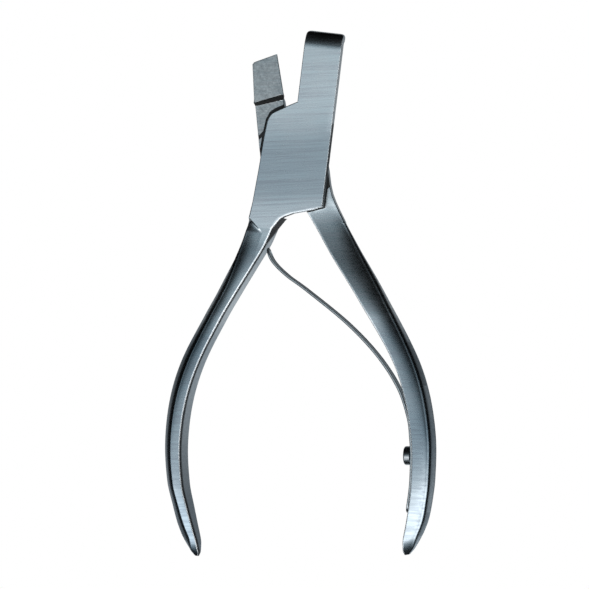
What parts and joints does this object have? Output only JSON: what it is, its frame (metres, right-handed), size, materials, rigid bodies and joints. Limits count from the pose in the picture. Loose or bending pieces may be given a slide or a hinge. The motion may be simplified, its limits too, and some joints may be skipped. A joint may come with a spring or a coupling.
{
  "type": "grozing pliers",
  "caption": "Lap-joint steel pliers with one long rolled-tip jaw, a short block jaw, bowed handles and a leaf return spring.",
  "frame": {"origin": "on the pivot axis, in the back face of the joint, at the rivet's back end", "axes": "+Y from the handles to the jaws, +Z along the pivot axis towards the front plate, +X to the side of the handle that carries the spring"},
  "size_m": [0.0745, 0.1398, 0.0094],
  "materials": {
    "front_lever_steel": "stainless, brushed across the plate, satin on the handle",
    "back_lever_steel": "stainless, satin",
    "rivet_steel": "stainless, ground flush and brushed with the plate",
    "spring_steel": "hard rolled spring steel",
    "screw_steel": "turned steel with a driver slot"
  },
  "bodies": {
    "back": {"back_lever": "back_lever_steel", "pivot_rivet": "rivet_steel", "leaf_spring": "spring_steel", "spring_screw": "screw_steel"},
    "front": {"front_lever": "front_lever_steel"}
  },
  "joints": [
    {"name": "lever_pivot", "type": "hinge", "parent": "back", "child": "front", "pos_m": [0, 0, 0.0025], "axis": [0, 0, 1], "range_deg": [0, 13.2], "stiffness_Nm_per_rad": 1.5, "springref_deg": -4.58, "deforming": ["leaf_spring"]}
  ]
}
